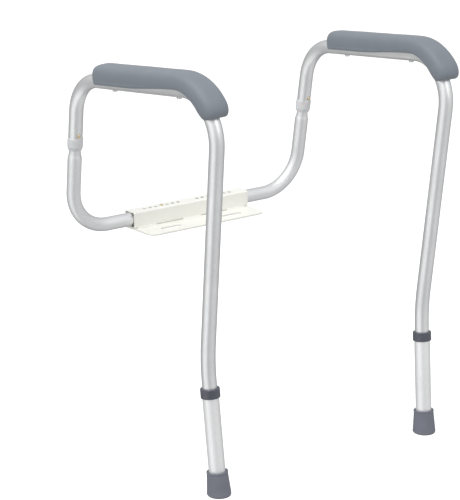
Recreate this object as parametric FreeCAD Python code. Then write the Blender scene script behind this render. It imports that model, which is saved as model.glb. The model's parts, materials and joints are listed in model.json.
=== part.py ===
import FreeCAD, Part
import math
import os

# A toilet safety frame: two aluminium armrest frames that plug into a steel bracket, which is
# bolted under the seat's hinge. Millimetres. The origin is on the floor under the middle of the
# frame's box, +Z is up and the user faces -Y. Left and right are as seen from the front, so left
# is -X. Everything is worked out for the left side and mirrored in X for the right side.

V = FreeCAD.Vector
OUT = "parts"

# ---- tube stock ------------------------------------------------------------------------------
TUBE_OD = 25.4
TUBE_ID = 21.4
SLEEVE_OD = 28.6
SLEEVE_ID = 25.8
SWAGE_OD = 21.2
SWAGE_ID = 17.2
BEND_RADIUS = 76.8
KINK_RADIUS = 340.0

# ---- stance of one arm frame -----------------------------------------------------------------
# The arm's outline is walked in its own plane from the rear tube's corner at the socket. Angles
# are in degrees from upright, lengths run from corner to corner.
CORNER_X = 256.2
SOCKET_Y = 213.7
SOCKET_Z = 377.8
ARM_LEAN = 1.4
ARM_YAW = 1.6
POST_LEAN = 7.6
POST_LENGTH = 287.4
RAIL_RISE = 5.5
RAIL_LENGTH = 400.3
FRONT_LEAN = 5.9
FRONT_LENGTH = 470.0
LEG_LEAN = 5.65

# ---- stations along the rear post, from the corner upwards -----------------------------------
FLARE_START = 138.0
FLARE_END = 151.0
POST_COLLAR_BOTTOM = 156.0
ARM_TUBE_START = 159.0
POST_COLLAR_TOP = 178.0
POST_BUTTON = 184.5
SWAGE_END = 218.0
POST_COLLAR_OD = 28.0
POST_BUTTON_TURN = 8.0
POST_COLLAR_TAPER = 1.8
POST_COLLAR_TAPER_HEIGHT = 6.5
POST_COLLAR_ROUND = 0.9
POST_COLLAR_EASE = 0.6

# ---- stations along the leg, from the floor upwards ------------------------------------------
FOOT_FLOOR = 8.0
WASHER_THICKNESS = 1.5
WASHER_BORE = 10.0
ARM_TUBE_END = 28.8
FOOT_TOP = 43.3
LEG_BUTTON = 53.5
LEG_COLLAR_BOTTOM = 173.8
SLEEVE_TOP = 188.6
LEG_COLLAR_TOP = 190.8
FOOT_BASE_OD = 42.0
FOOT_NECK_OD = 36.4
FOOT_LIP_OD = 37.2
FOOT_LIP = 4.0
FOOT_LIP_EDGE = 1.4
FOOT_MOUTH_DEPTH = 2.6
FOOT_FLARE_HEIGHT = 4.0
FOOT_LIP_STEP = 1.2
FOOT_LIP_ROUND = 0.5
FOOT_EDGE_ROUND = 3.2
TREAD_RADII = (7.0, 13.0)
TREAD_WIDTH = 2.0
TREAD_DEPTH = 1.6
LEG_COLLAR_OD = 33.5
LEG_COLLAR_ROUND = 1.4
LEG_COLLAR_PLAY = 0.35
WASHER_PLAY = 0.4
SWAGE_PLAY = 0.1

# ---- snap buttons ----------------------------------------------------------------------------
HOLE_DIAMETER = 7.6
BUTTON_DIAMETER = 6.8
BUTTON_FLANGE = 9.0
BUTTON_FLANGE_THICKNESS = 0.8
BUTTON_CROWN = 1.5
BUTTON_PROUD = 1.9
SPRING_WIDTH = 6.0
SPRING_THICKNESS = 0.6
SPRING_REACH = 34.0
SPRING_FOOT = 8.0
SPRING_ROUNDS = (2.0, 1.2)
SPRING_PLAY = 0.4
FLANGE_PLAY = 0.3
HOLE_PITCH = 12.7
HOLE_COUNT = 7

# ---- bracket ---------------------------------------------------------------------------------
SOCKET_SIDE = 30.0
SOCKET_WALL = 1.8
SOCKET_CORNER = 3.0
SOCKET_HALF_LENGTH = 131.0
REAR_TUBE_END = 45.0
WIDTH_BUTTON = 60.0
PLATE_THICKNESS = 3.0
PLATE_REACH = 55.0
PLATE_CORNER = 15.0
SLOT_PITCH = 140.0
SLOT_LENGTH = 45.0
SLOT_WIDTH = 11.0
SLOT_AHEAD = 30.0

# ---- armrest ---------------------------------------------------------------------------------
# Stations along the rail are from its rear corner forwards.
PAD_START = 78.0
PAD_TURN = 64.0
PAD_WIDTH = 50.0
PAD_LOW = 1.0
PAD_TOP = 30.5
PAD_SHOULDER_HEIGHT = 19.0
PAD_SHOULDER_INSET = 9.0
PAD_GROOVE_RADIUS = 12.9
CORE_START = 98.0
CORE_END = 305.0
CORE_WIDTH = 18.0
CORE_LOW = 13.0
CORE_HIGH = 16.0
SCREW_STATIONS = (112.0, 293.0)
SCREW_DIAMETER = 4.8
SCREW_HOLE = 5.3
SCREW_HEAD = 8.6
SCREW_HEAD_HEIGHT = 2.8
SCREW_HEAD_ROUND = 1.3
SCREW_SLOT = 1.2
SCREW_SLOT_DEPTH = 1.4
CORE_CORNER = 4.0


# ---- helpers ---------------------------------------------------------------------------------
def unit(vector):
    """Copy of a vector with length 1."""
    return V(vector).normalize()


def heading(from_upright):
    """Direction in an arm's plane: an angle from upright, positive towards the front."""
    angle = math.radians(from_upright)
    return V(0, -math.sin(angle), math.cos(angle))


def route(points, radii):
    """Wire of straight runs joined by tangent arcs, with one radius for each inner point."""
    edges = []
    start = points[0]
    for before, corner, after, radius in zip(points, points[1:], points[2:], radii):
        back = unit(before - corner)
        ahead = unit(after - corner)
        half_angle = back.getAngle(ahead) / 2
        reach = radius / math.tan(half_angle)
        middle = corner + unit(back + ahead) * (radius / math.sin(half_angle) - radius)
        first = corner + back * reach
        last = corner + ahead * reach
        edges.append(Part.LineSegment(start, first).toShape())
        edges.append(Part.Arc(first, middle, last).toShape())
        start = last
    edges.append(Part.LineSegment(start, points[-1]).toShape())
    return Part.Wire(edges)


def bent_tube(points, radii, outer, inner):
    """Round tube along a route."""
    path = route(points, radii)
    direction = points[1] - points[0]
    faces = [Part.Face(Part.Wire(Part.Circle(points[0], direction, size / 2).toShape()))
             for size in (outer, inner)]
    return path.makePipe(faces[0]).cut(path.makePipe(faces[1]))


def straight_tube(start, end, outer, inner):
    """Round tube between two points."""
    return rod(start, end, outer).cut(rod(start, end, inner))


def rod(start, end, diameter):
    """Solid cylinder between two points."""
    return Part.makeCylinder(diameter / 2, (end - start).Length, start, end - start)


def frame_at(origin, outward, along):
    """Placement whose local Z points outward and whose local X lies along a tube."""
    turn = FreeCAD.Rotation(along, outward.cross(along), outward, "ZXY")
    return FreeCAD.Placement(origin, turn)


def turned(outline, origin, axis):
    """Solid of revolution: (radius, height) points, put with its foot at the origin."""
    points = [V(radius, 0, height) for radius, height in outline]
    face = Part.Face(Part.makePolygon(points + points[:1]))
    solid = face.revolve(V(0, 0, 0), V(0, 0, 1), 360)
    solid.Placement = FreeCAD.Placement(origin, FreeCAD.Rotation(V(0, 0, 1), axis))
    return solid


def softened(solid, radius, chosen):
    """Fillet on the edges for which chosen(edge) is true."""
    edges = [edge for edge in solid.Edges if chosen(edge)]
    return solid.makeFillet(radius, edges)


def is_circle(edge, radius):
    """True for a full or part circle of the given radius."""
    return isinstance(edge.Curve, Part.Circle) and abs(edge.Curve.Radius - radius) < 0.01


# ---- the left arm's outline ------------------------------------------------------------------
lean = FreeCAD.Rotation(V(0, 1, 0), -ARM_LEAN)
yaw = FreeCAD.Rotation(V(0, 0, 1), ARM_YAW)
stance = yaw.multiply(lean)
across = stance.multVec(V(1, 0, 0))

post_way = stance.multVec(heading(POST_LEAN))
rail_way = stance.multVec(heading(90 - RAIL_RISE))
front_way = stance.multVec(heading(180 + FRONT_LEAN))
leg_way = stance.multVec(heading(180 - LEG_LEAN))

socket_corner = V(-CORNER_X, SOCKET_Y, SOCKET_Z)
rear_corner = socket_corner + post_way * POST_LENGTH
front_corner = rear_corner + rail_way * RAIL_LENGTH
kink_corner = front_corner + front_way * FRONT_LENGTH
floor_point = kink_corner - leg_way * (kink_corner.z / leg_way.z)
leg_up = leg_way * -1
rail_up = rail_way.cross(across)


def on_post(station):
    """Point on the rear post's centreline."""
    return socket_corner + post_way * station


def on_rail(station):
    """Point on the armrest rail's centreline, from its rear corner."""
    return rear_corner + rail_way * station


def on_leg(station):
    """Point on the leg's centreline, from the floor."""
    return floor_point + leg_up * station


def on_socket(distance):
    """Point on the socket's centreline, at a distance left of the middle plane."""
    return V(-distance, SOCKET_Y, SOCKET_Z)


# ---- snap buttons ----------------------------------------------------------------------------
leg_outward = unit(leg_up.cross(across))
post_front = unit(rail_way - post_way * rail_way.dot(post_way))
post_outward = FreeCAD.Rotation(post_way, -POST_BUTTON_TURN).multVec(post_front)

# Each place gives where the button's axis meets the tube's centreline, which way the button
# points, the way its spring runs inside the tube, the surface that it stands proud of, and the
# bore that its spring presses against.
BUTTON_PLACES = {
    "post": (on_post(POST_BUTTON), post_outward, post_way * -1, TUBE_OD / 2, SWAGE_ID / 2),
    "width": (on_socket(WIDTH_BUTTON), V(0, 0, 1), V(-1, 0, 0), SOCKET_SIDE / 2, TUBE_ID / 2),
    "leg": (on_leg(LEG_BUTTON), leg_outward, leg_up, SLEEVE_OD / 2, TUBE_ID / 2),
}


def flange_top(bore_radius):
    """Height above the centreline where the button's flange lies just inside the bore."""
    return math.sqrt(bore_radius ** 2 - (BUTTON_FLANGE / 2) ** 2) - FLANGE_PLAY


def snap_button(place):
    """Pressed metal button: a crowned pin on a flange."""
    centre, outward, along, surface, bore = BUTTON_PLACES[place]
    top = surface + BUTTON_PROUD
    seat = flange_top(bore)
    pin = Part.makeCylinder(BUTTON_DIAMETER / 2, top - seat, V(0, 0, seat))
    pin = softened(pin, BUTTON_CROWN, lambda edge: is_circle(edge, BUTTON_DIAMETER / 2)
                   and edge.CenterOfMass.z > top - 0.01)
    base = seat - BUTTON_FLANGE_THICKNESS
    flange = Part.makeCylinder(BUTTON_FLANGE / 2, BUTTON_FLANGE_THICKNESS, V(0, 0, base))
    button = pin.fuse(flange).removeSplitter()
    button.Placement = frame_at(centre, outward, along)
    return button


def button_spring(place):
    """Hairpin leaf spring: one leg under the button's flange, the other on the bore's far side."""
    centre, outward, along, surface, bore = BUTTON_PLACES[place]
    half = SPRING_THICKNESS / 2
    upper = flange_top(bore) - BUTTON_FLANGE_THICKNESS - half
    lower = SPRING_PLAY + half - math.sqrt(bore ** 2 - (SPRING_WIDTH / 2) ** 2)
    points = [
        V(-SPRING_FOOT / 2, 0, upper),
        V(SPRING_FOOT / 2, 0, upper),
        V(SPRING_REACH, 0, (upper + lower) / 2),
        V(-SPRING_FOOT, 0, lower),
    ]
    corners = [V(points[0].x, y, upper + z)
               for y, z in ((-SPRING_WIDTH / 2, -half), (SPRING_WIDTH / 2, -half),
                            (SPRING_WIDTH / 2, half), (-SPRING_WIDTH / 2, half))]
    section = Part.Face(Part.makePolygon(corners + corners[:1]))
    spring = route(points, SPRING_ROUNDS).makePipe(section)
    spring.Placement = frame_at(centre, outward, along)
    return spring


def button_hole(centre, outward):
    """Drill for a snap button, from the centreline outwards."""
    return rod(centre, centre + outward * SLEEVE_OD, HOLE_DIAMETER)


# ---- tubes of one arm frame ------------------------------------------------------------------
def shoulder(wide, narrow):
    """Solid with a smooth shoulder from one diameter down to another, where the rear tube necks."""
    length = FLARE_END - FLARE_START
    fall = (wide - narrow) / 4
    radius = (length ** 2 / 4 + fall ** 2) / (2 * fall)
    turn = math.atan2(length / 2, radius - fall) / 2
    bow = radius * (1 - math.cos(turn))
    drop = radius * math.sin(turn)
    middle = V(wide / 2 - fall, 0, length / 2)
    start = V(wide / 2, 0, 0)
    end = V(narrow / 2, 0, length)
    foot = V(0, 0, 0)
    top = V(0, 0, length)
    edges = [Part.LineSegment(foot, start).toShape(),
             Part.Arc(start, start + V(-bow, 0, drop), middle).toShape(),
             Part.Arc(middle, end + V(bow, 0, -drop), end).toShape(),
             Part.LineSegment(end, top).toShape(),
             Part.LineSegment(top, foot).toShape()]
    solid = Part.Face(Part.Wire(edges)).revolve(foot, V(0, 0, 1), 360)
    solid.Placement = FreeCAD.Placement(on_post(FLARE_START),
                                        FreeCAD.Rotation(V(0, 0, 1), post_way))
    return solid


def rear_tube():
    """Rear tube: it slides in the bracket's socket, bends up and necks down into the arm tube."""
    body = bent_tube([on_socket(REAR_TUBE_END), socket_corner, on_post(FLARE_START)],
                     [BEND_RADIUS], TUBE_OD, TUBE_ID)
    neck = straight_tube(on_post(FLARE_END), on_post(SWAGE_END), SWAGE_OD, SWAGE_ID)
    tube = body.fuse([shoulder(TUBE_OD, SWAGE_OD).cut(shoulder(TUBE_ID, SWAGE_ID)), neck])
    for place in ("post", "width"):
        tube = tube.cut(button_hole(*BUTTON_PLACES[place][:2]))
    return tube


def arm_tube():
    """Arm tube: up from the rear tube, forward under the armrest and down into the leg."""
    tube = bent_tube([on_post(ARM_TUBE_START), rear_corner, front_corner, kink_corner,
                      on_leg(ARM_TUBE_END)],
                     [BEND_RADIUS, BEND_RADIUS, KINK_RADIUS], TUBE_OD, TUBE_ID)
    drills = [button_hole(*BUTTON_PLACES[place][:2]) for place in ("post", "leg")]
    for station in SCREW_STATIONS:
        drills.append(rod(on_rail(station) - rail_up * TUBE_OD, on_rail(station) + rail_up * TUBE_OD,
                          SCREW_HOLE))
    return tube.cut(drills)


def post_collar():
    """Plastic collar over the joint between the rear tube and the arm tube."""
    height = POST_COLLAR_TOP - POST_COLLAR_BOTTOM
    step = ARM_TUBE_START - POST_COLLAR_BOTTOM
    outer = POST_COLLAR_OD / 2
    neck = SWAGE_OD / 2 + SWAGE_PLAY
    foot = outer - POST_COLLAR_TAPER
    outline = [(neck, 0), (foot, 0), (outer, POST_COLLAR_TAPER_HEIGHT), (outer, height),
               (TUBE_OD / 2, height), (TUBE_OD / 2, step), (neck, step)]
    collar = turned(outline, on_post(POST_COLLAR_BOTTOM), post_way)
    collar = softened(collar, POST_COLLAR_ROUND, lambda edge: is_circle(edge, foot))
    return softened(collar, POST_COLLAR_EASE, lambda edge: is_circle(edge, outer)
                    and edge.CenterOfMass.z > on_post(POST_COLLAR_TOP - 1).z)


# ---- leg -------------------------------------------------------------------------------------
def leg_extension():
    """Outer leg sleeve with the row of height holes on its rear side."""
    sleeve = straight_tube(on_leg(FOOT_FLOOR + WASHER_THICKNESS), on_leg(SLEEVE_TOP),
                           SLEEVE_OD, SLEEVE_ID)
    drills = [button_hole(on_leg(LEG_BUTTON + HOLE_PITCH * hole), leg_outward)
              for hole in range(HOLE_COUNT)]
    return sleeve.cut(drills)


def leg_collar():
    """Plastic guide collar on the top end of the leg sleeve."""
    height = LEG_COLLAR_TOP - LEG_COLLAR_BOTTOM
    step = SLEEVE_TOP - LEG_COLLAR_BOTTOM
    guide = TUBE_OD / 2 + LEG_COLLAR_PLAY
    outer = LEG_COLLAR_OD / 2
    outline = [(SLEEVE_OD / 2, 0), (outer, 0), (outer, height), (guide, height),
               (guide, step), (SLEEVE_OD / 2, step)]
    collar = turned(outline, on_leg(LEG_COLLAR_BOTTOM), leg_up)
    return softened(collar, LEG_COLLAR_ROUND, lambda edge: is_circle(edge, outer))


def foot_tip():
    """Rubber ferrule: a flared cup on the sleeve's end, cut flat on the floor, with a tread."""
    shoulder = FOOT_TOP - FOOT_LIP
    bore = SLEEVE_OD / 2
    outline = [(0, -FOOT_FLARE_HEIGHT), (FOOT_BASE_OD / 2, -FOOT_FLARE_HEIGHT),
               (FOOT_BASE_OD / 2, FOOT_FLARE_HEIGHT), (FOOT_NECK_OD / 2, shoulder),
               (FOOT_LIP_OD / 2, shoulder + FOOT_LIP_STEP),
               (FOOT_LIP_OD / 2, FOOT_TOP), (FOOT_LIP_OD / 2 - FOOT_LIP_EDGE, FOOT_TOP),
               (bore, FOOT_TOP - FOOT_MOUTH_DEPTH), (bore, FOOT_FLOOR), (0, FOOT_FLOOR)]
    tip = turned(outline, floor_point, leg_up)
    tip = softened(tip, FOOT_LIP_ROUND, lambda edge: is_circle(edge, FOOT_LIP_OD / 2)
                   and edge.CenterOfMass.z > on_leg(FOOT_TOP - 1).z)
    slab = Part.makeBox(2 * FOOT_BASE_OD, 2 * FOOT_BASE_OD, FOOT_BASE_OD,
                        floor_point - V(FOOT_BASE_OD, FOOT_BASE_OD, FOOT_BASE_OD))
    tip = tip.cut(slab)
    tip = softened(tip, FOOT_EDGE_ROUND, lambda edge: edge.BoundBox.ZMax < 0.01)
    for middle in TREAD_RADII:
        ring = Part.makeCylinder(middle + TREAD_WIDTH / 2, TREAD_DEPTH, floor_point)
        tip = tip.cut(ring.cut(Part.makeCylinder(middle - TREAD_WIDTH / 2, TREAD_DEPTH, floor_point)))
    return tip


def foot_washer():
    """Steel washer that keeps the sleeve from cutting through the rubber."""
    return straight_tube(on_leg(FOOT_FLOOR), on_leg(FOOT_FLOOR + WASHER_THICKNESS),
                         SLEEVE_OD - WASHER_PLAY, WASHER_BORE)


# ---- armrest ---------------------------------------------------------------------------------
def rail_frame(station):
    """Placement on the rail: local X out to the left, local Y forward along it, local Z up."""
    turn = FreeCAD.Rotation(across * -1, rail_way, rail_up, "ZXY")
    return FreeCAD.Placement(on_rail(station), turn)


def armrest_core():
    """Steel strip moulded into the armrest, tapped for its screws."""
    length = CORE_END - CORE_START
    strip = Part.makeBox(CORE_WIDTH, length, CORE_HIGH - CORE_LOW, V(-CORE_WIDTH / 2, 0, CORE_LOW))
    strip = softened(strip, CORE_CORNER, lambda edge: abs(edge.tangentAt(edge.FirstParameter).z) > 0.99)
    strip.Placement = rail_frame(CORE_START)
    drills = [rod(on_rail(station), on_rail(station) + rail_up * PAD_TOP, SCREW_DIAMETER)
              for station in SCREW_STATIONS]
    return strip.cut(drills)


def armrest_pad():
    """Moulded foam armrest over the rail and round the front bend, grooved for the tube."""
    half = PAD_WIDTH / 2
    groove = math.sqrt(PAD_GROOVE_RADIUS ** 2 - PAD_LOW ** 2)
    inset = half - PAD_SHOULDER_INSET
    place = rail_frame(PAD_START)
    left = [V(-groove, 0, PAD_LOW), V(-half, 0, PAD_LOW), V(-half, 0, PAD_SHOULDER_HEIGHT),
            V(-inset, 0, PAD_TOP)]
    right = [V(-point.x, 0, point.z) for point in reversed(left)]
    edges = [Part.LineSegment(a, b).toShape()
             for a, b in zip((left + right)[:-1], (left + right)[1:])]
    edges.append(Part.Arc(right[-1], V(0, 0, PAD_GROOVE_RADIUS), left[0]).toShape())
    section = Part.Face(Part.Wire(edges))
    section.Placement = place

    turn = 90 + RAIL_RISE + FRONT_LEAN
    reach = BEND_RADIUS * math.tan(math.radians(turn / 2))
    bend_start = on_rail(RAIL_LENGTH - reach)
    centre = bend_start - rail_up * BEND_RADIUS
    straight = section.extrude(bend_start - on_rail(PAD_START))
    bend_face = section.copy()
    bend_face.translate(bend_start - on_rail(PAD_START))
    bend = bend_face.revolve(centre, across, PAD_TURN)
    pad = straight.fuse(bend).removeSplitter()
    pocket = Part.makeBox(CORE_WIDTH, CORE_END - CORE_START, CORE_HIGH - PAD_GROOVE_RADIUS + 1,
                          V(-CORE_WIDTH / 2, 0, PAD_GROOVE_RADIUS - 1))
    pocket.Placement = rail_frame(CORE_START)
    return pad.cut(pocket)


def armrest_screws():
    """Two pan head screws, up through the rail into the armrest's core."""
    screws = []
    underside = -TUBE_OD / 2
    for station in SCREW_STATIONS:
        head = Part.makeCylinder(SCREW_HEAD / 2, SCREW_HEAD_HEIGHT,
                                 V(0, 0, underside - SCREW_HEAD_HEIGHT))
        head = softened(head, SCREW_HEAD_ROUND, lambda edge: is_circle(edge, SCREW_HEAD / 2)
                        and edge.CenterOfMass.z < underside - 1)
        for angle in (0, 90):
            slot = Part.makeBox(SCREW_HEAD / 2, SCREW_SLOT, SCREW_SLOT_DEPTH,
                                V(-SCREW_HEAD / 4, -SCREW_SLOT / 2, underside - SCREW_HEAD_HEIGHT))
            slot.rotate(V(0, 0, 0), V(0, 0, 1), angle)
            head = head.cut(slot)
        shank = Part.makeCylinder(SCREW_DIAMETER / 2, CORE_HIGH - underside, V(0, 0, underside))
        screw = head.fuse(shank)
        screw.Placement = rail_frame(station)
        screws.append(screw)
    return Part.makeCompound(screws)


# ---- bracket ---------------------------------------------------------------------------------
def square_bar(side, corner, half_length):
    """Square bar with rounded corners along X, centred on the socket's line."""
    bar = Part.makeBox(2 * half_length, side, side,
                       V(-half_length, SOCKET_Y - side / 2, SOCKET_Z - side / 2))
    return softened(bar, corner, lambda edge: abs(edge.tangentAt(edge.FirstParameter).x) > 0.99)


def cross_tube():
    """Square steel tube that both rear tubes slide into, with the width holes in its top."""
    bore = SOCKET_SIDE - 2 * SOCKET_WALL
    tube = square_bar(SOCKET_SIDE, SOCKET_CORNER, SOCKET_HALF_LENGTH)
    tube = tube.cut(square_bar(bore, SOCKET_CORNER - SOCKET_WALL, SOCKET_HALF_LENGTH))
    drills = []
    for hole in range(HOLE_COUNT):
        distance = WIDTH_BUTTON + HOLE_PITCH * (hole - (HOLE_COUNT - 1) / 2)
        drills += [button_hole(on_socket(side * distance), V(0, 0, 1)) for side in (-1, 1)]
    return tube.cut(drills)


def mounting_plate():
    """Flat plate welded under the cross tube, with two slots for the seat bolts."""
    rear = SOCKET_Y + SOCKET_SIDE / 2 - SOCKET_CORNER
    front = SOCKET_Y - SOCKET_SIDE / 2 - PLATE_REACH
    under = SOCKET_Z - SOCKET_SIDE / 2 - PLATE_THICKNESS
    plate = Part.makeBox(2 * SOCKET_HALF_LENGTH, rear - front, PLATE_THICKNESS,
                         V(-SOCKET_HALF_LENGTH, front, under))
    plate = softened(plate, PLATE_CORNER, lambda edge: edge.CenterOfMass.y < front + 0.01
                     and abs(edge.tangentAt(edge.FirstParameter).z) > 0.99)
    slot_y = SOCKET_Y - SOCKET_SIDE / 2 - SLOT_AHEAD
    for side in (-1, 1):
        slot = Part.makeBox(SLOT_LENGTH, SLOT_WIDTH, PLATE_THICKNESS,
                            V(side * SLOT_PITCH / 2 - SLOT_LENGTH / 2, slot_y - SLOT_WIDTH / 2, under))
        slot = softened(slot, SLOT_WIDTH / 2 - 0.01,
                        lambda edge: abs(edge.tangentAt(edge.FirstParameter).z) > 0.99)
        plate = plate.cut(slot)
    return plate


# ---- writing out -----------------------------------------------------------------------------
SIDE_PIECES = {
    "rear_tube": rear_tube,
    "arm_tube": arm_tube,
    "post_collar": post_collar,
    "post_button": lambda: snap_button("post"),
    "post_spring": lambda: button_spring("post"),
    "width_button": lambda: snap_button("width"),
    "width_spring": lambda: button_spring("width"),
    "armrest_pad": armrest_pad,
    "armrest_core": armrest_core,
    "armrest_screws": armrest_screws,
    "leg_button": lambda: snap_button("leg"),
    "leg_spring": lambda: button_spring("leg"),
    "leg_extension": leg_extension,
    "leg_collar": leg_collar,
    "foot_tip": foot_tip,
    "foot_washer": foot_washer,
}

os.makedirs(OUT, exist_ok=True)
nodes = {"cross_tube": cross_tube(), "mounting_plate": mounting_plate()}
for name, make in SIDE_PIECES.items():
    piece = make()
    nodes["left_" + name] = piece
    nodes["right_" + name] = piece.mirror(V(0, 0, 0), V(1, 0, 0))

box = FreeCAD.BoundBox()
for name, shape in nodes.items():
    box.add(shape.optimalBoundingBox(True, False))
    shape.exportStep(os.path.join(OUT, name + ".step"))
    print(name, "solids", len(shape.Solids), "valid", shape.isValid(), "mm3", round(shape.Volume, 1))
print("box", [round(value, 2) for value in (box.XMin, box.XMax, box.YMin, box.YMax, box.ZMin, box.ZMax)])
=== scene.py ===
"""Looks of the toilet safety frame: materials, moulded armrests, welds, studio and camera."""

import json
import math

import bmesh
import bpy
from mathutils import Euler, Matrix, Vector, noise

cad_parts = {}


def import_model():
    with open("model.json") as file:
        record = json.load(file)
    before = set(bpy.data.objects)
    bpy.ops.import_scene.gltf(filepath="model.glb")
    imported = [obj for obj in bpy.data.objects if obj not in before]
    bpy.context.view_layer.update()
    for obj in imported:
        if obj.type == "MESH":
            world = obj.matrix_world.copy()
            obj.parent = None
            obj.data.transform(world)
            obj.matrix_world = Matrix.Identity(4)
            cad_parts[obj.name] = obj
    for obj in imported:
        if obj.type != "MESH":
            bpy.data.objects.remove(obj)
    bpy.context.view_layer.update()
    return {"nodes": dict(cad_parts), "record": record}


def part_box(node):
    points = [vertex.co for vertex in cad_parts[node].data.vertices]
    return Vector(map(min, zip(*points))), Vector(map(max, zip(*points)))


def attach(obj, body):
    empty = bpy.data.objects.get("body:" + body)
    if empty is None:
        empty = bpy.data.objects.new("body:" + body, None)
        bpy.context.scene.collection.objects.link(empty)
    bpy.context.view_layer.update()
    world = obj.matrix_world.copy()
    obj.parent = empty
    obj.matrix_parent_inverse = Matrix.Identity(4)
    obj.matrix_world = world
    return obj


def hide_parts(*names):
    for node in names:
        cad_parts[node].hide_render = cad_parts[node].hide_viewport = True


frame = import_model()

MM = 0.001

# ---- stance of an arm frame, in degrees, the same as the CAD's --------------------------------
ARM_LEAN = 1.4
ARM_YAW = 1.6
RAIL_RISE = 5.5
FRONT_LEAN = 5.9

# ---- armrest, in millimetres: stations along the rail are from its rear corner forwards -------
BEND_RADIUS = 76.8
RAIL_LENGTH = 400.3
CORE_MIDDLE = 201.5
CORE_HEIGHT = 14.5
PAD_START = 78.0
PAD_TURN = 63.6
PAD_END_TILT = 13.0
PAD_TILT_REACH = 70.0
PAD_HALF_WIDTH = 25.0
PAD_HALF_FOOT = 24.0
PAD_LOW = 1.0
PAD_SIDE_HEIGHT = 10.0
PAD_CROWN = 22.0
PAD_SQUARENESS = 3.2
PAD_EDGE_ROUND = 2.2
# Steps up the pad's side with how far each stands out: the mould's parting line is a low ridge.
PAD_SIDE_STEPS = ((0.04, 0.0), (0.08, 0.22), (0.13, 0.22), (0.17, 0.0), (0.45, 0.0), (0.75, 0.0), (1.0, 0.0))
PAD_GROOVE_RADIUS = 12.9
# How far the lower edges lie above PAD_LOW at the rear end, near the bend and at the front end,
# and the shares of the length where they start to rise and are highest.
PAD_EDGE_LIFTS = (-2.8, 3.4, 0.6)
PAD_LIFT_START = 0.3
PAD_LIFT_PEAK = 0.75
PAD_TAPER = 0.05
# Rounding of each end: its length, then how far the top, the sides and the underside pull in.
REAR_ROUND = (11.0, 11.0, 6.0, 1.2)
FRONT_ROUND = (20.0, 15.0, 6.5, 3.5)
# The underside's pull fades over this share of the height.
PAD_UNDER_SHARE = 1 / 3
# Points this close to the groove keep their place when an end is rounded.
PAD_GROOVE_MARGIN = 1.0
FOAM_UNEVENNESS = 0.3
FOAM_WAVE = 38.0
# Points round the section and rings along the pad.
PAD_FOOT_POINTS = 5
PAD_EDGE_POINTS = 6
PAD_CROWN_POINTS = 24
PAD_END_RINGS = 11
PAD_BODY_RINGS = 96

# ---- finishes, in metres ----------------------------------------------------------------------
# Heights between which the tubes, and the draw lines on them, turn from upright to level.
ARM_TURN = (0.60, 0.68)
REAR_TURN = (0.44, 0.395)
NO_TURN = (5.0, 6.0)
# Draw lines: waves in a metre across them and along them.
DRAW_LINE_SCALE = 1100.0
DRAW_LINE_STRETCH = 7.0
# The cross tube's inside width, the powder coat's reach into it and its fading edge on the wall. Past that
# reach the bore is painted near-black: bare steel, darkened further as painted shade in the socket.
CROSS_TUBE_BORE = 0.0266
COAT_REACH = 0.014
COAT_BLEND = 0.0004
DUST_HEIGHT = 0.010
# The usual range of a noise's values.
NOISE_LOW = 0.3
NOISE_HIGH = 0.7

# ---- weld beads on the bracket, in millimetres ------------------------------------------------
WELD_LENGTH = 42.0
WELD_RADIUS = 2.3
WELD_SINK = 0.3
WELD_REAR_SINK = 2.2
WELD_RIPPLE = 2.4
WELD_LAG = 0.9
WELD_STEP = 0.4
WELD_SIDES = 16
WELD_WAVER_LENGTH = 9.0
WELD_WAVER_SPREAD = 7.0
# Shares of the bead's radius, and of half the tube's length out to the side beads' middles.
WELD_RIPPLE_DEPTH = 0.07
WELD_WAVER_DEPTH = 0.08
WELD_SPREAD = 0.78
# Where the ripples lead, round the bead, in radians.
WELD_CROWN = 2.4

# ---- camera: where it stands and looks, in metres and degrees ---------------------------------
CAMERA_AIM = (-0.0622, 0.0, 0.3566)
CAMERA_DISTANCE = 3.4739
CAMERA_AZIMUTH = -37.17
CAMERA_ELEVATION = 16.524
CAMERA_ROLL = -0.105
CAMERA_LENS = 140.78
CAMERA_SENSOR = 36.0

# ---- studio ----------------------------------------------------------------------------------
# The floor lies just under the feet with the legs at their longest, in metres.
FLOOR_HEIGHT = -0.078
FLOOR_SIZE = 14.0
# The light brightens upwards between SKY_FROM and SKY_TO and downwards from SKY_FROM to GROUND_TO.
# These are heights on a unit sphere, and then come the brightnesses.
SKY_FROM = -0.3
SKY_TO = 0.9
GROUND_TO = -0.95
SKY_ABOVE = 0.95
SKY_LEVEL = 0.54
SKY_BELOW = 0.62
# Upright panels: heading in degrees from -Y, half angles inside and outside, and brightness.
# PANEL_GLOW is the share of it that lights pieces without being mirrored.
PANEL_GLOW = 0.4
PANELS = ((-90.0, 12.0, 46.0, 0.56), (28.0, 8.0, 60.0, 0.2), (143.0, 10.0, 75.0, -0.2))
# Area lights: name, place, width and height in metres, and power.
LIGHTS = (
    ("key", (-1.6, -0.3, 3.4), 1.6, 1.6, 45),
    ("fill", (0.4, -3.2, 2.2), 1.2, 2.0, 8),
)
LIGHT_TARGET = (0, 0, 0.4)


# ---- mesh helpers ----------------------------------------------------------------------------
def mesh_object(name, points, faces, crease_angle=40):
    """New smooth-shaded mesh object from points in metres, sharp where faces meet steeply."""
    mesh = bpy.data.meshes.new(name)
    mesh.from_pydata([tuple(point) for point in points], [], faces)
    work = bmesh.new()
    work.from_mesh(mesh)
    bmesh.ops.remove_doubles(work, verts=work.verts, dist=0.02 * MM)
    bmesh.ops.recalc_face_normals(work, faces=work.faces)
    work.to_mesh(mesh)
    work.free()
    mesh.polygons.foreach_set("use_smooth", [True] * len(mesh.polygons))
    mesh.set_sharp_from_angle(angle=math.radians(crease_angle))
    piece = bpy.data.objects.new(name, mesh)
    bpy.context.scene.collection.objects.link(piece)
    return piece


def mirrored(points):
    """The same points on the other side of the middle plane."""
    return [Vector((-point.x, point.y, point.z)) for point in points]


def middle_of(node):
    """Centre of a CAD node's box."""
    low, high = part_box(node)
    return (low + high) / 2


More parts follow.
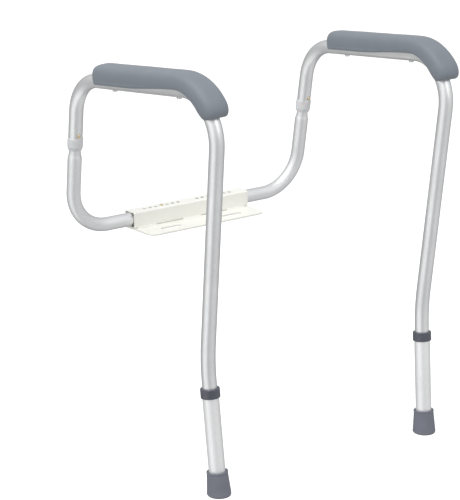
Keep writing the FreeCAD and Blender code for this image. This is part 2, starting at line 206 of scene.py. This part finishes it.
# ---- shader helpers --------------------------------------------------------------------------
class Nodes:
    """A node tree with short calls for the nodes used here."""

    def __init__(self, tree, coordinates):
        self.tree = tree
        self.place = self.node("ShaderNodeTexCoord").outputs[coordinates]

    def node(self, kind, **settings):
        """New node with its properties set."""
        made = self.tree.nodes.new(kind)
        for setting, value in settings.items():
            setattr(made, setting, value)
        return made

    def plug(self, value, socket):
        """Feed a socket with a number, a colour or another node's output."""
        if isinstance(value, bpy.types.NodeSocket):
            self.tree.links.new(value, socket)
        else:
            socket.default_value = value

    def scaled(self, scale):
        """Coordinates in metres times a scale for each axis."""
        made = self.node("ShaderNodeMapping")
        self.plug(self.place, made.inputs["Vector"])
        made.inputs["Scale"].default_value = scale
        return made.outputs["Vector"]

    def noise(self, scale, detail=2.0, roughness=0.5, coordinates=None):
        """Soft noise, mostly between NOISE_LOW and NOISE_HIGH."""
        made = self.node("ShaderNodeTexNoise")
        self.plug(coordinates or self.place, made.inputs["Vector"])
        made.inputs["Scale"].default_value = scale
        made.inputs["Detail"].default_value = detail
        made.inputs["Roughness"].default_value = roughness
        return made.outputs["Fac"]

    def cells(self, scale):
        """Distance from the middle of rounded cells."""
        made = self.node("ShaderNodeTexVoronoi", feature="SMOOTH_F1")
        self.plug(self.place, made.inputs["Vector"])
        made.inputs["Scale"].default_value = scale
        return made.outputs["Distance"]

    def math(self, operation, first, second=0.0):
        """Sum, product or other step on one or two values."""
        made = self.node("ShaderNodeMath", operation=operation)
        self.plug(first, made.inputs[0])
        self.plug(second, made.inputs[1])
        return made.outputs[0]

    def remap(self, value, low, high, to_low, to_high):
        """Smooth step from one range to another."""
        made = self.node("ShaderNodeMapRange", interpolation_type="SMOOTHSTEP")
        for socket, number in zip(made.inputs, (value, low, high, to_low, to_high)):
            self.plug(number, socket)
        return made.outputs[0]

    def spread(self, value, to_low, to_high):
        """A noise stretched from its usual range to another."""
        return self.remap(value, NOISE_LOW, NOISE_HIGH, to_low, to_high)

    def blend(self, factor, first, second):
        """Mix of two colours or values by a factor."""
        made = self.node("ShaderNodeMix", data_type="RGBA")
        self.plug(factor, made.inputs["Factor"])
        self.plug(first, made.inputs[6])
        self.plug(second, made.inputs[7])
        return made.outputs[2]

    def axis(self, name):
        """One coordinate."""
        made = self.node("ShaderNodeSeparateXYZ")
        self.plug(self.place, made.inputs[0])
        return made.outputs[name]

    def facing(self, towards):
        """Cosine between the level part of a direction and a heading in degrees from -Y."""
        angle = math.radians(towards)
        flat = self.node("ShaderNodeVectorMath", operation="MULTIPLY")
        self.plug(self.place, flat.inputs[0])
        flat.inputs[1].default_value = (1, 1, 0)
        unit = self.node("ShaderNodeVectorMath", operation="NORMALIZE")
        self.plug(flat.outputs[0], unit.inputs[0])
        made = self.node("ShaderNodeVectorMath", operation="DOT_PRODUCT")
        self.plug(unit.outputs[0], made.inputs[0])
        made.inputs[1].default_value = (math.sin(angle), -math.cos(angle), 0)
        return made.outputs["Value"]

    def bump(self, height, depth):
        """Surface relief with a real depth in millimetres."""
        made = self.node("ShaderNodeBump")
        self.plug(height, made.inputs["Height"])
        made.inputs["Distance"].default_value = depth * MM
        made.inputs["Strength"].default_value = 1.0
        return made.outputs["Normal"]


class Shader(Nodes):
    """A material with one Principled shader, whose uniform values are set on its sockets."""

    def __init__(self, name, **values):
        self.material = bpy.data.materials.new(name)
        self.material.use_nodes = True
        super().__init__(self.material.node_tree, "Object")
        self.surface = self.tree.nodes["Principled BSDF"]
        for socket, value in values.items():
            self.surface.inputs[socket.replace("_", " ")].default_value = value

    def finish(self, colour=None, rough=None, normal=None):
        """Connect what varies over the surface."""
        for value, socket in ((colour, "Base Color"), (rough, "Roughness"), (normal, "Normal")):
            if value is not None:
                self.plug(value, self.surface.inputs[socket])
        return self.material


def rgb(red, green, blue):
    """Opaque colour."""
    return (red, green, blue, 1.0)


# ---- materials -------------------------------------------------------------------------------
def drawn_aluminium(name, dark, light, rough, turn_from, turn_to, lying):
    """Satin anodised tube. Draw lines run up it below one height and along an axis above another."""
    shader = Shader(name, Metallic=1.0, Roughness=rough)
    levels = []
    for along in ("Z", lying):
        scale = [DRAW_LINE_SCALE] * 3
        scale["XYZ".index(along)] = DRAW_LINE_STRETCH
        levels.append(shader.noise(1.0, 4.0, 0.65, shader.scaled(scale)))
    share = shader.remap(shader.axis("Z"), turn_from, turn_to, 0.0, 1.0)
    lines = shader.blend(share, *levels)
    cloud = shader.noise(14.0, 3.0, 0.55)
    tone = shader.math("ADD", shader.math("MULTIPLY", lines, 0.7), shader.math("MULTIPLY", cloud, 0.3))
    tone = shader.spread(tone, 0.0, 1.0)
    colour = shader.blend(tone, dark, light)
    rough = shader.remap(tone, 0.0, 1.0, rough + 0.05, rough - 0.05)
    return shader.finish(colour, rough, shader.bump(lines, 0.02))


def powder_coat(name, inside=None):
    """Cream powder coat with an orange peel. It reaches only a little way into a square tube; deeper in, the
    bore is painted near-black, bare steel with painted shade.
    """
    shader = Shader(name, Roughness=0.4, Coat_Weight=0.25, Coat_Roughness=0.25)
    peel = shader.noise(700.0, 2.0, 0.45)
    cloud = shader.noise(20.0, 3.0, 0.5)
    colour = shader.blend(cloud, rgb(0.84, 0.84, 0.785), rgb(0.90, 0.90, 0.85))
    # Painted shade: inside the bore, past the coat's reach, the colour goes near-black for bare steel and
    # for the shade deep in the socket.
    if inside:
        centre, half_bore, half_length = inside
        reaches = []
        for axis in "YZ":
            step = shader.math("SUBTRACT", shader.axis(axis), centre["XYZ".index(axis)])
            reaches.append(shader.math("ABSOLUTE", step))
        reach = shader.math("MAXIMUM", *reaches)
        bare_and_shade = shader.remap(reach, half_bore, half_bore + COAT_BLEND, 1.0, 0.0)
        along = shader.math("ABSOLUTE", shader.axis("X"))
        depth = shader.remap(along, half_length - COAT_REACH, half_length, 1.0, 0.0)
        bare_and_shade = shader.math("MULTIPLY", bare_and_shade, depth)
        colour = shader.blend(bare_and_shade, colour, rgb(0.10, 0.095, 0.09))
    rough = shader.spread(cloud, 0.36, 0.46)
    return shader.finish(colour, rough, shader.bump(peel, 0.09))


def armrest_foam():
    """Skin of moulded foam: a fine pebble grain, a little cloudy, and darker in the grain's valleys as
    painted shade.
    """
    shader = Shader("grey_armrest_foam", Roughness=0.6, Sheen_Weight=0.1, Sheen_Roughness=0.45)
    grain = shader.cells(1000.0)
    fine = shader.noise(2400.0, 2.0, 0.5)
    cloud = shader.noise(34.0, 4.0, 0.55)
    height = shader.math("ADD", grain, shader.math("MULTIPLY", fine, 0.35))
    # Painted shade: a third of the tone follows the grain's depth, so its pits are painted darker.
    tone = shader.math("ADD", shader.math("MULTIPLY", cloud, 0.7), shader.math("MULTIPLY", grain, 0.3))
    colour = shader.blend(tone, rgb(0.154, 0.178, 0.208), rgb(0.214, 0.237, 0.269))
    rough = shader.spread(tone, 0.5, 0.62)
    return shader.finish(colour, rough, shader.bump(height, 0.14))


def slate_plastic():
    """Moulded plastic with a light sheen and a fine grain."""
    shader = Shader("dark_slate_plastic", Roughness=0.28, Specular_IOR_Level=0.7)
    grain = shader.noise(1500.0, 3.0, 0.6)
    cloud = shader.noise(90.0, 3.0, 0.5)
    colour = shader.blend(cloud, rgb(0.048, 0.053, 0.074), rgb(0.088, 0.095, 0.125))
    rough = shader.spread(grain, 0.22, 0.34)
    return shader.finish(colour, rough, shader.bump(grain, 0.03))


def milky_plastic():
    """Hazy clear plastic with faint flow lines."""
    shader = Shader("clear_plastic", Roughness=0.22, Subsurface_Weight=0.2, Subsurface_Scale=0.003)
    cloud = shader.noise(160.0, 2.0, 0.45)
    flow = shader.noise(1.0, 3.0, 0.5, shader.scaled((500.0, 500.0, 60.0)))
    colour = shader.blend(cloud, rgb(0.60, 0.61, 0.625), rgb(0.74, 0.75, 0.76))
    rough = shader.spread(flow, 0.2, 0.3)
    return shader.finish(colour, rough, shader.bump(flow, 0.04))


def grey_rubber():
    """Moulded rubber, dustier close to the floor."""
    shader = Shader("grey_rubber", Roughness=0.6, Specular_IOR_Level=0.4)
    grain = shader.noise(1300.0, 4.0, 0.65)
    cloud = shader.noise(60.0, 4.0, 0.6)
    dust = shader.remap(shader.axis("Z"), 0.0, DUST_HEIGHT, 0.3, 0.0)
    tone = shader.blend(cloud, rgb(0.143, 0.152, 0.187), rgb(0.196, 0.206, 0.245))
    colour = shader.blend(dust, tone, rgb(0.22, 0.22, 0.22))
    rough = shader.spread(cloud, 0.52, 0.68)
    return shader.finish(colour, rough, shader.bump(grain, 0.07))


def plated_metal(name, dark, light, low_rough, high_rough):
    """Small plated steel parts, a little blotchy, with fine scratches."""
    shader = Shader(name, Metallic=1.0, Roughness=low_rough)
    cloud = shader.noise(420.0, 3.0, 0.6)
    scratch = shader.noise(1.0, 2.0, 0.6, shader.scaled((5200.0, 700.0, 5200.0)))
    rough = shader.spread(cloud, low_rough, high_rough)
    return shader.finish(shader.blend(cloud, dark, light), rough, shader.bump(scratch, 0.006))


SATIN = (rgb(0.70, 0.71, 0.72), rgb(0.86, 0.865, 0.87), 0.38)
SOFT_SATIN = (rgb(0.70, 0.71, 0.72), rgb(0.84, 0.845, 0.85), 0.46)
PALE_SATIN = (rgb(0.79, 0.795, 0.80), rgb(0.92, 0.925, 0.93), 0.56)

# Middle, half bore and half length of the cross tube, whose bore is painted near-black as bare steel and
# painted shade.
SHADED_BARE_BORE = (middle_of("cross_tube"), CROSS_TUBE_BORE / 2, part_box("cross_tube")[1].x)

slot_materials = {
    "cream_powder_coat": powder_coat("cream_powder_coat"),
    "grey_armrest_foam": armrest_foam(),
    "dark_slate_plastic": slate_plastic(),
    "clear_plastic": milky_plastic(),
    "grey_rubber": grey_rubber(),
    "gold_plated_steel": plated_metal(
        "gold_plated_steel", rgb(0.56, 0.43, 0.26), rgb(0.80, 0.68, 0.48), 0.08, 0.18),
    "spring_steel": plated_metal(
        "spring_steel", rgb(0.42, 0.42, 0.43), rgb(0.58, 0.58, 0.59), 0.28, 0.4),
    "zinc_steel": plated_metal(
        "zinc_steel", rgb(0.62, 0.63, 0.64), rgb(0.78, 0.78, 0.79), 0.24, 0.36),
}
own_materials = {
    "arm_tube": drawn_aluminium("arm_tube_aluminium", *SATIN, *ARM_TURN, "Y"),
    "rear_tube": drawn_aluminium("rear_tube_aluminium", *SOFT_SATIN, *REAR_TURN, "X"),
    "leg_extension": drawn_aluminium("leg_aluminium", *PALE_SATIN, *NO_TURN, "Y"),
    "cross_tube": powder_coat("cross_tube_powder_coat", SHADED_BARE_BORE),
}


def dress_cad_nodes():
    """Give each CAD node its own material, or that of its slot."""
    for subpart in frame["record"]["subparts"]:
        node = subpart["node"]
        kind = node.removeprefix("left_").removeprefix("right_")
        made = own_materials.get(kind) or slot_materials[subpart["material_slot"]]
        mesh = frame["nodes"][node].data
        mesh.materials.clear()
        mesh.materials.append(made)


# ---- armrests --------------------------------------------------------------------------------
def heading(from_upright):
    """Direction in an arm's plane: an angle from upright, positive towards the front."""
    angle = math.radians(from_upright)
    return Vector((0, -math.sin(angle), math.cos(angle)))


def arc_steps(start, end, count):
    """Evenly spaced values with both ends."""
    return [start + (end - start) * step / (count - 1) for step in range(count)]


def pad_outline():
    """The pad's outer section in mm, (out, up) from the rail's centreline, left foot to right."""
    groove = math.sqrt(PAD_GROOVE_RADIUS ** 2 - PAD_LOW ** 2)
    half = [(groove + (PAD_HALF_FOOT - PAD_EDGE_ROUND - groove) * share, PAD_LOW)
            for share in arc_steps(0, 1, PAD_FOOT_POINTS)]
    for angle in arc_steps(-75, 0, PAD_EDGE_POINTS):
        turn = math.radians(angle)
        half.append((PAD_HALF_FOOT - PAD_EDGE_ROUND * (1 - math.cos(turn)),
                     PAD_LOW + PAD_EDGE_ROUND * (1 + math.sin(turn))))
    for share, ridge in PAD_SIDE_STEPS:
        rise = PAD_SIDE_HEIGHT - PAD_LOW - PAD_EDGE_ROUND
        half.append((PAD_HALF_FOOT + (PAD_HALF_WIDTH - PAD_HALF_FOOT) * share + ridge,
                     PAD_LOW + PAD_EDGE_ROUND + rise * share))
    power = 2 / PAD_SQUARENESS
    for angle in arc_steps(4, 90, PAD_CROWN_POINTS):
        turn = math.radians(angle)
        half.append((PAD_HALF_WIDTH * math.cos(turn) ** power if angle < 90 else 0.0,
                     PAD_SIDE_HEIGHT + PAD_CROWN * math.sin(turn) ** power))
    return half[:-1] + [(-out, up) for out, up in reversed(half)]


def groove_outline(count):
    """The groove's half circle with as many points as the outer section."""
    reach = math.acos(PAD_LOW / PAD_GROOVE_RADIUS)
    return [(PAD_GROOVE_RADIUS * math.sin(angle), PAD_GROOVE_RADIUS * math.cos(angle))
            for angle in arc_steps(reach, -reach, count)]


def straight_length():
    """Length of the pad before the front bend starts."""
    turn = 90 + RAIL_RISE + FRONT_LEAN
    return RAIL_LENGTH - BEND_RADIUS * math.tan(math.radians(turn / 2)) - PAD_START


def pad_stations():
    """Stations along the pad, closer together where its ends are rounded, and its length, in mm."""
    length = straight_length() + math.radians(PAD_TURN) * BEND_RADIUS
    rounding = [1 - math.cos(math.radians(angle)) for angle in arc_steps(0, 90, PAD_END_RINGS)]
    places = [REAR_ROUND[0] * share for share in rounding]
    places += arc_steps(REAR_ROUND[0], length - FRONT_ROUND[0], PAD_BODY_RINGS)[1:-1]
    places += [length - FRONT_ROUND[0] * share for share in reversed(rounding)]
    return places, length


def smooth(value):
    """Ease from 0 to 1."""
    value = min(1.0, max(0.0, value))
    return value * value * (3 - 2 * value)


def rounded_in(out, rise, inset, rounding):
    """A section point pulled in at a rounded end, by its distance from that end."""
    reach, top, sides, under = rounding
    cut = 1 - math.sqrt(1 - max(0.0, 1 - inset / reach) ** 2)
    if abs(out) < PAD_GROOVE_RADIUS + PAD_GROOVE_MARGIN and rise < PAD_SIDE_HEIGHT:
        return out, rise
    height = (rise - PAD_LOW) / (PAD_SIDE_HEIGHT + PAD_CROWN - PAD_LOW)
    side = abs(out) / PAD_HALF_WIDTH
    beyond = smooth((abs(out) - PAD_GROOVE_RADIUS) / (PAD_HALF_FOOT - PAD_GROOVE_RADIUS))
    out -= math.copysign(sides * cut * side * beyond, out)
    rise += cut * (under * beyond * (1 - smooth(height / PAD_UNDER_SHARE)) - top * smooth(height))
    return out, rise


def edge_lift(share):
    """Rise of the pad's lower edges at a share of its length."""
    rear, bend, front = PAD_EDGE_LIFTS
    if share < PAD_LIFT_PEAK:
        return rear + (bend - rear) * smooth((share - PAD_LIFT_START) / (PAD_LIFT_PEAK - PAD_LIFT_START))
    return bend + (front - bend) * smooth((share - PAD_LIFT_PEAK) / (1 - PAD_LIFT_PEAK))


def lifted_groove(groove, lift):
    """The groove's points, with its mouth at the pad's lifted lower edges."""
    low = PAD_LOW + lift
    rises = [low] + [max(rise, low) for out, rise in groove[1:-1]] + [low]
    return [(math.copysign(math.sqrt(PAD_GROOVE_RADIUS ** 2 - min(rise, PAD_GROOVE_RADIUS) ** 2), out), rise)
            for (out, unlifted), rise in zip(groove, rises)]


class ArmrestPath:
    """The left rail's line under the armrest, straight and then round the front bend."""

    def __init__(self):
        turn = Euler((0, math.radians(-ARM_LEAN), math.radians(ARM_YAW)), "XYZ").to_matrix()
        self.across = turn @ Vector((1, 0, 0))
        self.along = turn @ heading(90 - RAIL_RISE)
        self.up = self.along.cross(self.across)
        core = middle_of("left_armrest_core") / MM
        self.start = core - self.up * CORE_HEIGHT + self.along * (PAD_START - CORE_MIDDLE)
        self.straight = straight_length()
        self.centre = self.start + self.along * self.straight - self.up * BEND_RADIUS

    def point(self, place, out, rise):
        """Point at a distance along the path, out to the left and up from its centreline."""
        if place <= self.straight:
            line, lift = self.start + self.along * place, self.up
        else:
            turn = Matrix.Rotation((place - self.straight) / BEND_RADIUS, 3, self.across)
            lift = turn @ self.up
            line = self.centre + lift * BEND_RADIUS
        return line - self.across * out + lift * rise


def armrest_points():
    """Rings of points of the left armrest, outer section then groove, from the rear end."""
    path = ArmrestPath()
    outline = pad_outline()
    groove = groove_outline(len(outline))
    places, length = pad_stations()
    tilt = math.tan(math.radians(PAD_END_TILT))
    rings = []
    for place in places:
        near_rear = place < length / 2
        inset = place if near_rear else length - place
        rounding = REAR_ROUND if near_rear else FRONT_ROUND
        growth = 1 + PAD_TAPER * (place / length - 0.5)
        lean = tilt * smooth(1 - (length - place) / PAD_TILT_REACH)
        lift = edge_lift(place / length)
        ring = []
        for out, rise in outline:
            out, rise = rounded_in(out, rise, inset, rounding)
            if rise > PAD_SIDE_HEIGHT:
                rise = PAD_SIDE_HEIGHT + (rise - PAD_SIDE_HEIGHT) * growth
            else:
                rise += lift * (PAD_SIDE_HEIGHT - rise) / (PAD_SIDE_HEIGHT - PAD_LOW)
            point = path.point(place + lean * rise, out, rise)
            if rise > PAD_LOW + PAD_EDGE_ROUND:
                swell = noise.noise(point / FOAM_WAVE) * FOAM_UNEVENNESS
                point = path.point(place + lean * rise, out * (1 + swell / PAD_HALF_WIDTH), rise + swell)
            ring.append(point * MM)
        ring += [path.point(place + lean * rise, out, rise) * MM
                 for out, rise in lifted_groove(groove, lift)]
        rings.append(ring)
    return rings


def armrest(side):
    """Moulded foam armrest that stands for the CAD pad."""
    rings = armrest_points()
    size = len(rings[0])
    half = size // 2
    points = [point for ring in rings for point in ring]
    if side == "right":
        points = mirrored(points)
    loop = list(range(half)) + list(range(size - 1, half - 1, -1))
    faces = []
    for ring in range(len(rings) - 1):
        for here, there in zip(loop, loop[1:] + loop[:1]):
            first = ring * size
            faces.append((first + here, first + there, first + size + there, first + size + here))
    for first in (0, (len(rings) - 1) * size):
        for step in range(half - 1):
            faces.append((first + step, first + step + 1, first + half + step + 1, first + half + step))
    piece = mesh_object(side + "_armrest_foam", points, faces)
    piece.data.materials.append(slot_materials["grey_armrest_foam"])
    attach(piece, side + "_arm")
    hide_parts(side + "_armrest_pad")


# ---- welds -----------------------------------------------------------------------------------
def weld(name, start, length):
    """Rippled weld bead along X from a point on a corner, under the powder coat."""
    rings = round(length / WELD_STEP) + 1
    points = []
    for ring in range(rings):
        run = length * ring / (rings - 1)
        ending = min(run, length - run)
        taper = math.sqrt(1 - max(0.0, 1 - ending / WELD_RADIUS) ** 2)
        for side in range(WELD_SIDES):
            angle = math.tau * side / WELD_SIDES
            lag = run + WELD_LAG * math.cos(angle - WELD_CROWN)
            waver = noise.noise(Vector((run / WELD_WAVER_LENGTH, angle, start.y / WELD_WAVER_SPREAD)))
            ripple = WELD_RIPPLE_DEPTH * math.sin(math.tau * lag / WELD_RIPPLE)
            ripple = 1 + ripple + waver * WELD_WAVER_DEPTH
            radius = WELD_RADIUS * taper * ripple
            points.append((start + Vector((run, math.cos(angle) * radius, math.sin(angle) * radius))) * MM)
    faces = []
    for ring in range(rings - 1):
        for side in range(WELD_SIDES):
            here = ring * WELD_SIDES + side
            there = ring * WELD_SIDES + (side + 1) % WELD_SIDES
            faces.append((here, there, there + WELD_SIDES, here + WELD_SIDES))
    piece = mesh_object(name, points, faces, crease_angle=80)
    piece.data.materials.append(slot_materials["cream_powder_coat"])
    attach(piece, "bracket")


def bracket_welds():
    """Stitch welds between the cross tube and the plate, along its front and rear corners."""
    low, high = (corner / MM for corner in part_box("cross_tube"))
    for edge, across in (("front", low.y + WELD_SINK), ("rear", high.y - WELD_REAR_SINK)):
        for place, middle in (("left", low.x), ("middle", 0.0), ("right", high.x)):
            start = Vector((middle * WELD_SPREAD - WELD_LENGTH / 2, across, low.z + WELD_SINK))
            weld(f"{edge}_{place}_weld", start, WELD_LENGTH)


# ---- studio ----------------------------------------------------------------------------------
def floor():
    """Pale floor. It glows a little so that it stays white, and the metal doesn't mirror it."""
    bpy.ops.mesh.primitive_plane_add(size=FLOOR_SIZE, location=(0, 0, FLOOR_HEIGHT))
    plane = bpy.context.object
    plane.name = "studio_floor"
    shader = Shader("studio_floor", Roughness=0.9, Specular_IOR_Level=0.1,
                    Emission_Color=rgb(1, 1, 1), Emission_Strength=0.3)
    plane.data.materials.append(shader.finish(rgb(0.9, 0.9, 0.9)))
    plane.visible_glossy = False
    plane.visible_diffuse = False


def soft_light(name, place, width, height, power):
    """Area light aimed at the object."""
    lamp = bpy.data.lights.new(name, "AREA")
    lamp.shape = "RECTANGLE"
    lamp.size = width
    lamp.size_y = height
    lamp.energy = power
    holder = bpy.data.objects.new(name, lamp)
    holder.location = place
    holder.rotation_euler = (Vector(LIGHT_TARGET) - Vector(place)).to_track_quat("-Z", "Y").to_euler()
    bpy.context.scene.collection.objects.link(holder)


def world():
    """White behind the object. It is lit from above and a little from the floor, and polished
    pieces also mirror upright panels."""
    made = bpy.data.worlds.new("studio")
    bpy.context.scene.world = made
    made.use_nodes = True
    nodes = Nodes(made.node_tree, "Generated")
    rays = nodes.node("ShaderNodeLightPath").outputs
    sky = nodes.remap(nodes.axis("Z"), SKY_FROM, SKY_TO, SKY_LEVEL, SKY_ABOVE)
    ground = nodes.remap(nodes.axis("Z"), GROUND_TO, SKY_FROM, SKY_BELOW - SKY_LEVEL, 0.0)
    level = nodes.math("ADD", sky, ground)
    mirrored_share = nodes.remap(rays["Is Glossy Ray"], 0.0, 1.0, PANEL_GLOW, 1.0)
    for towards, narrow, wide, gain in PANELS:
        near = nodes.facing(towards)
        edge, full = math.cos(math.radians(wide)), math.cos(math.radians(narrow))
        panel = nodes.remap(near, edge, full, 0.0, gain)
        level = nodes.math("ADD", level, nodes.math("MULTIPLY", panel, mirrored_share))
    background = nodes.tree.nodes["Background"]
    nodes.plug(nodes.blend(rays["Is Camera Ray"], level, rgb(1, 1, 1)), background.inputs["Color"])


def camera():
    """Camera on the line from its aim point at the set azimuth and elevation."""
    data = bpy.data.cameras.new("camera")
    data.lens = CAMERA_LENS
    data.sensor_width = CAMERA_SENSOR
    holder = bpy.data.objects.new("camera", data)
    turn = (Matrix.Rotation(math.radians(CAMERA_AZIMUTH), 3, "Z")
            @ Matrix.Rotation(math.radians(90 - CAMERA_ELEVATION), 3, "X")
            @ Matrix.Rotation(math.radians(CAMERA_ROLL), 3, "Z"))
    backwards = turn @ Vector((0, 0, 1))
    holder.location = Vector(CAMERA_AIM) + backwards * CAMERA_DISTANCE
    holder.rotation_euler = turn.to_euler()
    bpy.context.scene.collection.objects.link(holder)
    bpy.context.scene.camera = holder


dress_cad_nodes()
for side in ("left", "right"):
    armrest(side)
bracket_welds()
floor()
world()
for light in LIGHTS:
    soft_light(*light)
camera()
bpy.context.scene.view_settings.view_transform = "Standard"
